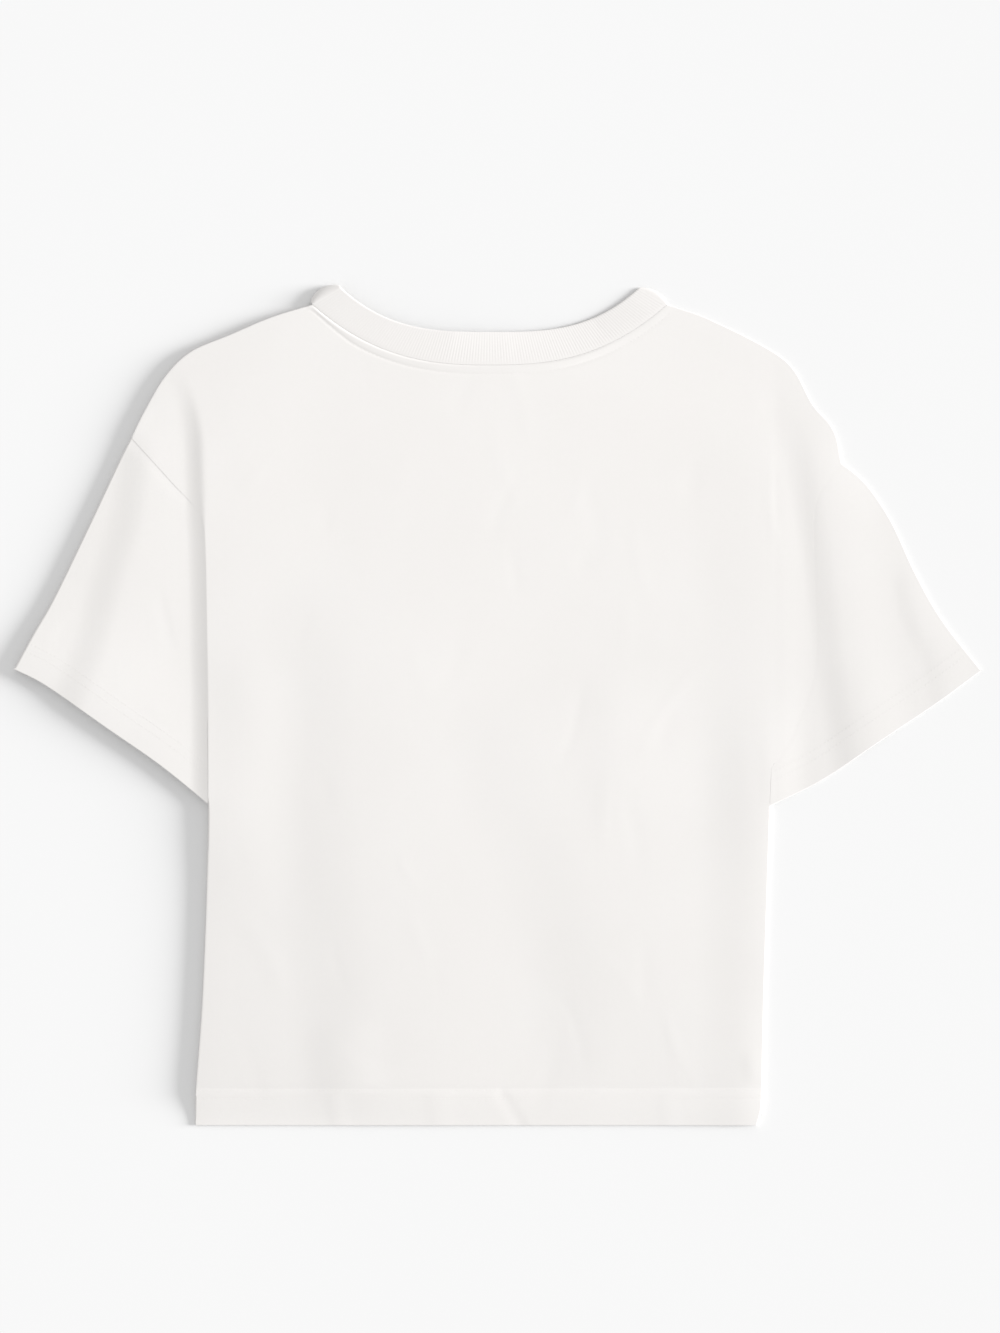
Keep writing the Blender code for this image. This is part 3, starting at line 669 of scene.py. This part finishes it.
class Shell:
    """Vertices and faces of a closed wall of cloth."""

    def __init__(self):
        self.points, self.faces = [], []
        self.count = 0

    def add_grid(self, grid):
        rows, columns = grid.shape[:2]
        index = self.count + np.arange(rows * columns).reshape(rows, columns)
        self.points.append(grid.reshape(-1, 3))
        self.count += rows * columns
        return index

    def add_quads(self, index):
        quads = np.stack([index[:-1, :-1], index[:-1, 1:], index[1:, 1:], index[1:, :-1]], axis=-1)
        self.faces.append(quads.reshape(-1, 4))

    def add_wall(self, outer, inner, walls):
        """Both surfaces of a layer and the walls along its border, each a pair of row and column places."""
        outside, inside = self.add_grid(outer), self.add_grid(inner)
        self.add_quads(outside)
        self.add_quads(inside)
        for rows, columns in walls:
            self.add_quads(np.stack([outside[rows, columns], inside[rows, columns]]))

    def make(self, name):
        """An object of the wall, moved to where the frame has the shirt."""
        mesh = bpy.data.meshes.new(name)
        mesh.from_pydata((np.vstack(self.points) * MM).tolist(), [], np.vstack(self.faces).tolist())
        work = bmesh.new()
        work.from_mesh(mesh)
        bmesh.ops.remove_doubles(work, verts=work.verts, dist=SAME_POINT)
        bmesh.ops.recalc_face_normals(work, faces=work.faces)
        work.to_mesh(mesh)
        work.free()
        mesh.transform(Matrix.Translation(SHIRT_PLACE))
        mesh.shade_smooth()
        mesh.set_sharp_from_angle(angle=np.radians(SHARP_ANGLE))
        return linked(name, mesh)


SHIRT_PLACE = Vector((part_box("sleeve_left")[0].x - CUFF_CORNER[0] * MM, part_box("back_panel")[0].y, 0))


def linked(name, data):
    """An object of a mesh, a light or a camera, linked to the scene."""
    made = bpy.data.objects.new(name, data)
    bpy.context.scene.collection.objects.link(made)
    return made


def body_cloth(half):
    """The back or the front."""
    plan = body_plan(half)
    relief = relief_of(plan.points, half, plan.points[..., 1], HEM_TURN, 1.0)
    outer, inner = Layer(plan, half == "back", PANEL_GAP).walls(*relief)
    shell = Shell()
    shell.add_wall(outer, inner, [(0, EVERY), (-1, EVERY), (EVERY, 0), (EVERY, -1)])
    return shell.make(f"{half}_cloth")


def sleeve_cloth(side):
    """A sleeve's upper and lower layer, which meet along its overarm and below the armpit."""
    plan = sleeve_plan(side)
    to_cuff = distance_to(CUFFS[side], plan.points)
    raised, sunk = relief_of(plan.points, "back", to_cuff, CUFF_TURN, CUFF_RELIEF)
    raised = raised - armhole_relief(plan.points)
    shell = Shell()
    for upper in (True, False):
        outer, inner = Layer(plan, upper, 0.0).walls(raised, sunk)
        armpit = len(outer) - len(plan.points) + plan.armpit_row
        shell.add_wall(outer, inner, [(0, EVERY), (-1, EVERY), (slice(armpit, None), -1)])
    return shell.make(f"sleeve_cloth_{side}")


# Stitches.

THREAD = 0.12  # radius
STITCH_LENGTH, STITCH_PITCH = 2.5, 3.0
THREAD_OUT = -0.02  # how far the middle of the thread is off the cloth, in the middle of a stitch
THREAD_IN = 0.1  # how far its ends go in
THREAD_RINGS, THREAD_SIDES = 5, 6
THREAD_TAPER = 0.6  # how much thinner its ends are
THREAD_END_POWER = 4  # more keeps a stitch even for longer
EDGE_CLEAR = 1.6  # from a rolled edge to the first stitch of a row
ROW_STEP = 0.5  # between the places at which this is measured


def on_cloth(path):
    """The stretch around the middle of a row that is clear of the rolled edges."""
    fine = points_at(path, np.arange(0, distances_along(path)[-1], ROW_STEP))
    close = np.flatnonzero(inward_of(fine) < EDGE_CLEAR)
    middle = len(fine) // 2
    start = max(close[close < middle], default=-1) + 1
    stop = min(close[close > middle], default=len(fine))
    return fine[start:stop]


def surface_of(layer, to_edge, turn, share):
    """The height of a layer's outside as a function of the plan, away from its rolled edges."""

    def surface(plan):
        raised, sunk = relief_of(plan, layer, to_edge(plan), turn, share)
        return upper_rest(plan) + raised - sunk if layer == "back" else lower_rest(plan) + sunk

    return surface


def add_stitches(shell, rows, surface, sign):
    """Rows of stitches on a surface. Sign is 1 on top and -1 on the underside."""
    around = np.linspace(0, 2 * np.pi, THREAD_SIDES, endpoint=False)
    share = np.linspace(0, 1, THREAD_RINGS)
    to_end = (2 * share - 1) ** THREAD_END_POWER
    for row in rows:
        path = on_cloth(row)
        starts = np.arange(0, distances_along(path)[-1] - STITCH_LENGTH, STITCH_PITCH)
        places = starts[:, None] + share * STITCH_LENGTH
        plan = points_at(path, places.ravel()).reshape(len(starts), THREAD_RINGS, 2)
        out = THREAD_OUT - (THREAD_IN + THREAD_OUT) * to_end
        height = np.maximum(surface(plan) + sign * out, THREAD)
        run = unit(np.gradient(plan, axis=1))
        across = np.stack([-run[..., 1], run[..., 0]], axis=-1)
        radius = (THREAD * (1 - THREAD_TAPER * to_end))[:, None]
        wide = plan[:, :, None] + (radius * np.cos(around))[..., None] * across[:, :, None]
        tall = height[..., None] + radius * np.sin(around)
        for thread in np.concatenate([wide, tall[..., None]], axis=-1):
            index = shell.add_grid(thread)
            shell.add_quads(np.hstack([index, index[:, :1]]))
            for end in index[[0, -1]]:
                shell.faces.append(np.array([end[[0, 1, 2, 3]], end[[0, 3, 4, 5]]]))


def body_stitches(layer):
    """The hem's two rows of stitches and the row beside the neck seam, on the back or the front."""
    first = HEM_TURN - STITCH_ROW
    left, _, right, _ = SIDE[0]
    rows = [np.array([(left - FAR, y), (right + FAR, y)]) for y in (first, first - STITCH_GAUGE)]
    seam = NECK_SEAM[layer]
    rows.append(seam - left_of(seam) * neck_groove(seam[:, 0])[:, None])
    surface = surface_of(layer, lambda plan: plan[..., 1], HEM_TURN, 1.0)
    shell = Shell()
    add_stitches(shell, rows, surface, 1 if layer == "back" else -1)
    return shell.make(f"stitches_{layer}")


def cuff_stitches(side):
    """A cuff's two rows of stitches, all round."""
    cuff = CUFFS[side]
    first = CUFF_TURN - STITCH_ROW
    rows = [cuff + up_from_cuff(cuff, side) * away for away in (first, first - STITCH_GAUGE)]
    shell = Shell()
    for layer, sign in (("back", 1), ("front", -1)):
        surface = surface_of(layer, lambda plan: distance_to(cuff, plan), CUFF_TURN, CUFF_RELIEF)
        add_stitches(shell, rows, surface, sign)
    return shell.make(f"stitches_{side}")


# The neck rib.

RIB_CLOTH = 0.46  # wall of the band, which is folded double
RIB_PITCH = 1.9
RIB_RELIEF = 0.06
RIB_TILT_X = (-110.0, -30.0, 20.0, 66.0, 92.0)
RIB_RISE = (0.5, 0.25, 0.0, 0.0, 0.0)  # how much higher its folded edge lies on the back
RIB_FALL = (0.0, 0.0, 0.25, 0.5, 0.15)  # and how far it lies down, as a share of the rib's own height
RIB_BULGE = {-1: 4.4, 1: 3.7}  # how far its ends stand out at the left and right shoulder
RIB_POWER, BULGE_POWER = 0.8, 0.8  # 1 is a sine, and less is rounder
RIB_SEWN_REACH = 2.2  # from the seam to where the ribs have their height
RIB_SEWN_SHARE, RIB_FREE_SHARE = 0.8, 0.2  # of its wall at the seam, and added further on
STATIONS_PER_RIB = 6
RIB_TURN_POINTS = 14  # round a shoulder, with both ends
RIB_ACROSS = (0.0, 0.03, 0.07, 0.13, 0.22, 0.34, 0.48, 0.62, 0.76, 0.88, 0.95)


def rib_tilt(x, height):
    """How much higher the folded edge lies than the seam, on the back."""
    return np.interp(x, RIB_TILT_X, RIB_RISE) - np.interp(x, RIB_TILT_X, RIB_FALL) * (height - RIB_CLOTH / 2)


def rib_half(layer, lines):
    """Seam points, edge points and mid-heights of the back or front half of the ring, from left to right."""
    seam, edge = (neckline_path(line) for line in lines)
    length = distances_along((seam + edge) / 2)[-1]
    count = STATIONS_PER_RIB * round(length / RIB_PITCH)
    seam, edge = (spaced(path, count) for path in (seam, edge))
    if layer == "back":
        height = np.maximum(upper_rest(seam), 2 * RIB_CLOTH) - RIB_CLOTH / 2
    else:
        height = np.full(count + 1, (RIB_CLOTH + RIB_RELIEF) / 2)
    return seam, edge, height


UP = np.array([0, 0, 1.0])


def flat_stations(half, sign):
    """Seam point, edge point, outward normal and bulge of each station, from left to right."""
    seam, edge, height = half
    tilt = rib_tilt(edge[:, 0], height) * (sign > 0)
    stations = []
    for at in range(len(seam)):
        ends = np.append(seam[at], height[at]), np.append(edge[at], height[at] + tilt[at])
        stations.append((*ends, sign * UP, np.zeros(3)))
    return stations


def turn_stations(upper_end, lower_end, side):
    """The same over a shoulder, from the back to the front. Side is -1 at the left and 1 at the right."""
    (seam, edge, top), (_, _, bottom) = upper_end, lower_end
    fold = unit(edge - seam)
    outward = -side * np.array([-fold[1], fold[0], 0])
    middle, radius = (top + bottom) / 2, (top - bottom) / 2
    stations = []
    for angle in np.linspace(0, np.pi, RIB_TURN_POINTS)[1:-1]:
        way = UP * np.cos(angle) + outward * np.sin(angle)
        lift = UP * middle + way * radius
        tilt = UP * rib_tilt(edge[0], top) * max(np.cos(angle), 0)
        bulge = outward * np.sin(angle) * RIB_BULGE[side]
        stations.append((np.append(seam, 0) + lift, np.append(edge, 0) + lift + tilt, way, bulge))
    return stations


def rib_section():
    """The band's section, up over its folded edge: how far across, and shares of its wall out and beyond."""
    outer = [(share, 1.0, 0.0) for share in RIB_ACROSS]
    angles = np.linspace(0, np.pi, ROUND_POINTS)[1:-1]
    rounded = [(1.0, np.cos(angle), np.sin(angle)) for angle in angles]
    inner = [(share, -1.0, 0.0) for share in RIB_ACROSS[::-1]]
    return [*outer, *rounded, *inner]


def neck_band():
    """A doubled rib band, sewn into a ring that folds over at both shoulders."""
    back = rib_half("back", (BACK_SEAM, BACK_RIB_EDGE))
    front = rib_half("front", (FRONT_SEAM, FRONT_RIB_EDGE))
    stations = flat_stations(back, 1)
    stations += turn_stations([part[-1] for part in back], [part[-1] for part in front], 1)
    stations += flat_stations(front, -1)[::-1]
    stations += turn_stations([part[0] for part in back], [part[0] for part in front], -1)[::-1]

    seams, edges, normals, bulges = (np.array(part) for part in zip(*stations))
    along = distances_along((seams + edges) / 2)
    ribs = np.abs(np.cos(np.pi * along / RIB_PITCH)) ** RIB_POWER
    width = np.linalg.norm(edges - seams, axis=1)
    across_way = unit(edges - seams)
    surface = []
    for share, over, beyond in rib_section():
        sewn = ease(share * width / RIB_SEWN_REACH)
        wall = RIB_CLOTH / 2 * (RIB_SEWN_SHARE + RIB_FREE_SHARE * sewn)
        half = wall + RIB_RELIEF * (ribs - 0.5) * sewn
        inset = PANEL_GAP + share * (width - RIB_CLOTH / 2 - PANEL_GAP)
        point = seams + across_way * (inset + beyond * half)[:, None] + normals * (over * half)[:, None]
        surface.append(point + bulges * np.sin(np.pi * share) ** BULGE_POWER)
    shell = Shell()
    index = shell.add_grid(np.array(surface).transpose(1, 0, 2))
    index = np.vstack([index, index[:1]])
    shell.add_quads(np.hstack([index, index[:, :1]]))
    return shell.make("neck_band")


# Materials.


JERSEY_WALE, RIB_WALE = 0.62, 0.6  # width of a column of loops
COURSE = 0.5  # height of a loop
BUMP_DEPTH = 0.03
PAINTED_LIGHT_UP = 0.088  # painted light: how much lighter the cloth is painted towards the neck, for each metre, for light that is stronger there than at the hem
PAINTED_HEM_LIGHT = 0.03  # painted light: how much lighter the hem is painted, for the light that its two layers send back instead of letting through
BLOTCH_SHARE, FLECK_SHARE = 0.75, 0.25
LOOP_SHARE, COLUMN_SHARE, FUZZ_SHARE = 0.3, 0.7, 0.5


class Nodes:
    """A material's nodes, with short calls to add and link them."""

    def __init__(self, name):
        self.material = bpy.data.materials.new(name)
        self.material.use_nodes = True
        self.tree = self.material.node_tree
        self.place = self.add("ShaderNodeTexCoord").outputs["Object"]

    def add(self, kind, operation=None, **inputs):
        node = self.tree.nodes.new(kind)
        if operation:
            node.operation = operation
        self.fill(node, inputs)
        return node

    def fill(self, node, inputs):
        for key, value in inputs.items():
            self.feed(node.inputs[key.replace("_", " ")], value)

    def feed(self, socket, value):
        if isinstance(value, bpy.types.NodeSocket):
            self.tree.links.new(value, socket)
        else:
            socket.default_value = value

    def math(self, operation, first, second=0.0):
        node = self.add("ShaderNodeMath", operation)
        self.feed(node.inputs[0], first)
        self.feed(node.inputs[1], second)
        return node.outputs[0]

    def plus(self, first, second):
        return self.math("ADD", first, second)

    def times(self, first, second):
        return self.math("MULTIPLY", first, second)

    def noise(self, scale, detail, roughness=0.5):
        settings = {"Scale": scale, "Detail": detail, "Roughness": roughness}
        return self.add("ShaderNodeTexNoise", Vector=self.place, **settings).outputs["Fac"]

    def bump(self, strength, height):
        node = self.add("ShaderNodeBump", Strength=strength, Distance=BUMP_DEPTH * MM, Height=height)
        return node.outputs["Normal"]

    def ramp(self, share, low, high, places=(0.0, 1.0)):
        """A colour between two, which it reaches at these shares."""
        ramp = self.add("ShaderNodeValToRGB", Fac=share)
        for element, place, colour in zip(ramp.color_ramp.elements, places, (low, high)):
            element.position = place
            element.color = (*colour, 1)
        return ramp.outputs["Color"]

    def shaded(self, **inputs):
        """The material, once its shader has these inputs."""
        self.fill(self.tree.nodes["Principled BSDF"], inputs)
        return self.material


def cloth_material(name, light, dark, wale):
    """White cotton: a knit of V-shaped loops in columns, with soft blotches in its colour and a short nap,
    and painted light: lighter towards the neck and at the hem.
    """
    nodes = Nodes(name)
    split = nodes.add("ShaderNodeSeparateXYZ", Vector=nodes.place)
    column = nodes.math("DIVIDE", split.outputs[0], wale * MM)
    row = nodes.math("DIVIDE", split.outputs[1], COURSE * MM)
    within = nodes.math("FRACT", column)
    slant = nodes.math("ABSOLUTE", nodes.math("SUBTRACT", within, 0.5))
    arch = nodes.math("SINE", nodes.times(within, np.pi))
    loops = nodes.math("SINE", nodes.times(nodes.plus(row, slant), 2 * np.pi))
    knit = nodes.times(arch, nodes.plus(nodes.times(loops, LOOP_SHARE), COLUMN_SHARE))
    fuzz = nodes.times(nodes.noise(scale=2600.0, detail=3.0, roughness=0.7), FUZZ_SHARE)
    normal = nodes.bump(0.7, nodes.plus(knit, fuzz))
    blotches = nodes.times(nodes.noise(scale=9.0, detail=4.0, roughness=0.55), BLOTCH_SHARE)
    flecks = nodes.times(nodes.noise(scale=420.0, detail=2.0, roughness=0.6), FLECK_SHARE)
    colour = nodes.ramp(nodes.plus(blotches, flecks), dark, light, (0.3, 0.7))
    # painted light: the hem band is painted lighter, for the light that its two layers send back
    hem = nodes.math("LESS_THAN", split.outputs[1], SHIRT_PLACE.y + HEM_TURN * MM)
    hem_painted_light = nodes.plus(nodes.times(hem, PAINTED_HEM_LIGHT), 1.0)
    # painted light: the colour is painted lighter towards the neck, and lighter still at the hem
    painted_light = nodes.plus(nodes.times(split.outputs[1], PAINTED_LIGHT_UP), hem_painted_light)
    painted_lit_colour = nodes.add("ShaderNodeVectorMath", "SCALE", Vector=colour, Scale=painted_light)
    shine = {"Roughness": 0.95, "Specular_IOR_Level": 0.15, "Sheen_Weight": 0.04, "Sheen_Roughness": 0.6}
    return nodes.shaded(Base_Color=painted_lit_colour.outputs[0], Normal=normal, **shine)


def thread_material():
    """White spun thread, with the slanting plies of its twist."""
    nodes = Nodes("white_thread")
    turned = nodes.add("ShaderNodeMapping", Vector=nodes.place, Rotation=(0, 0, 0.8)).outputs[0]
    wave = {"Scale": 1400.0, "Distortion": 1.5, "Detail": 1.0}
    plies = nodes.add("ShaderNodeTexWave", Vector=turned, **wave).outputs["Fac"]
    colour = nodes.ramp(plies, (0.765, 0.746, 0.728), (0.8, 0.782, 0.765))
    normal = nodes.bump(0.4, plies)
    return nodes.shaded(Base_Color=colour, Normal=normal, Roughness=0.7, Specular_IOR_Level=0.3)


def floor_material():
    nodes = Nodes("pale_floor")
    colour = nodes.ramp(nodes.noise(scale=3.0, detail=2.0), (0.815,) * 3, (0.825,) * 3)
    return nodes.shaded(Base_Color=colour, Roughness=1.0, Specular_IOR_Level=0.0)


# Stage.

# Lengths are in metres from here on.
FLOOR_HALF, FLOOR_DROP = 6.0, 0.0002
KEY_AZIMUTH, KEY_ELEVATION, KEY_SIZE = np.radians((4.0, 12.5, 20.0))
KEY_STRENGTH, SKY_STRENGTH = 5.8, 0.75
VIEW_HEIGHT = 2.4
VIEW_LONG_SIDE = 0.9331
VIEW_CENTRE = (SHIRT_PLACE.x + 1.75 * MM, SHIRT_PLACE.y + 320.95 * MM)


def make_stage():
    """The floor, the low key light, the sky and the camera."""
    floor_mesh = bpy.data.meshes.new("floor")
    corners = [(x * FLOOR_HALF, y * FLOOR_HALF, 0) for x, y in ((-1, -1), (1, -1), (1, 1), (-1, 1))]
    floor_mesh.from_pydata(corners, [], [(0, 1, 2, 3)])
    floor_mesh.materials.append(floor_material())
    floor = linked("floor", floor_mesh)
    floor.location.z = -FLOOR_DROP

    sun = bpy.data.lights.new("key", "SUN")
    sun.energy = KEY_STRENGTH
    sun.angle = KEY_SIZE
    key = linked("key", sun)
    level = np.cos(KEY_ELEVATION)
    towards = Vector((level * np.cos(KEY_AZIMUTH), level * np.sin(KEY_AZIMUTH), np.sin(KEY_ELEVATION)))
    key.rotation_euler = towards.to_track_quat("Z", "Y").to_euler()

    world = bpy.data.worlds.new("sky")
    bpy.context.scene.world = world
    world.use_nodes = True
    background = world.node_tree.nodes["Background"]
    background.inputs["Color"].default_value = (1, 1, 1, 1)
    background.inputs["Strength"].default_value = SKY_STRENGTH

    lens = bpy.data.cameras.new("camera")
    camera = linked("camera", lens)
    camera.location = (*VIEW_CENTRE, VIEW_HEIGHT)
    lens.sensor_width = 36.0
    lens.lens = lens.sensor_width * VIEW_HEIGHT / VIEW_LONG_SIDE
    lens.clip_end = 50.0
    bpy.context.scene.camera = camera
    bpy.context.scene.view_settings.view_transform = "Standard"


make_stage()
jersey = cloth_material("white_jersey", (0.781, 0.764, 0.748), (0.763, 0.744, 0.726), JERSEY_WALE)
rib_knit = cloth_material("white_rib", (0.782, 0.764, 0.749), (0.764, 0.744, 0.727), RIB_WALE)
thread = thread_material()

HALVES = ("back", "front")
PIECES = [(body_cloth(half), f"{half}_panel", jersey, "jersey") for half in HALVES]
PIECES += [(sleeve_cloth(side), f"sleeve_{side}", jersey, "jersey") for side in SIDES]
PIECES.append((neck_band(), "neck_rib", rib_knit, "rib_knit"))
PIECES += [(body_stitches(half), f"{half}_panel", thread, "jersey") for half in HALVES]
PIECES += [(cuff_stitches(side), f"sleeve_{side}", thread, "jersey") for side in SIDES]
for piece, node, material, slot in PIECES:
    piece.data.materials.append(material)
    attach(piece, "root")
    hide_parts(node)

# The cut of what shows, with the turned-up hems. A sleeve is cut all round, and the band is folded.
Sheet = namedtuple("Sheet", "piece width length area stitches rests_on")
